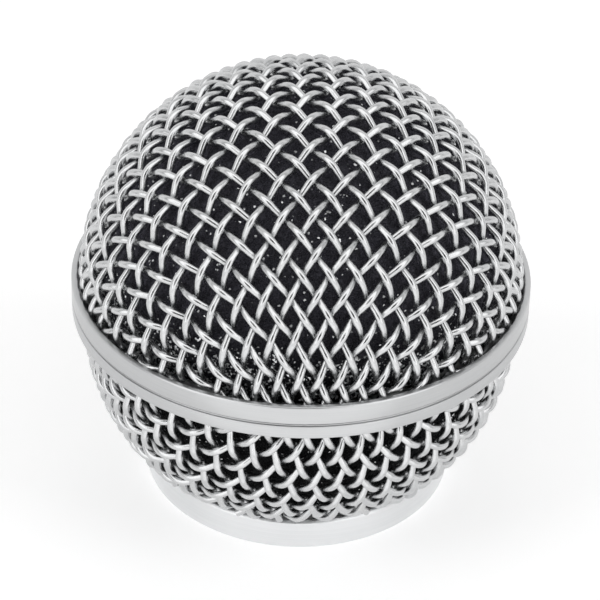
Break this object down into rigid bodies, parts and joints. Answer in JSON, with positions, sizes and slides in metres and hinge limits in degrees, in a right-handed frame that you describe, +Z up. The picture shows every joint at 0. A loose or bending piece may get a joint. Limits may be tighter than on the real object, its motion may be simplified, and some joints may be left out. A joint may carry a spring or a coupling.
{
  "type": "microphone ball grille",
  "caption": "Ball-shaped woven steel wire grille for a hand-held stage microphone, with a clamped equator band, a foam liner and a threaded collar.",
  "frame": {"origin": "middle of the collar's bottom face, on the surface it stands on", "axes": "+Z up along the ball's axis; the front, towards -Y, is on the bias of the weave"},
  "size_m": [0.051, 0.051, 0.0495],
  "materials": {
    "wire": "satin nickel plate",
    "band": "satin, brushed round",
    "band_inner": "plain",
    "collar": "light satin nickel plate",
    "solder": "plated over, uneven",
    "foam": "open-cell foam, black"
  },
  "bodies": {
    "root": {"dome_warp_wires": "wire", "dome_weft_wires": "wire", "bowl_warp_wires": "wire", "bowl_weft_wires": "wire", "band_upper_ring": "band", "band_middle_ring": "band_inner", "band_lower_ring": "band", "threaded_collar": "collar", "solder_bead": "solder", "dome_foam": "foam", "bowl_foam": "foam"}
  },
  "joints": []
}
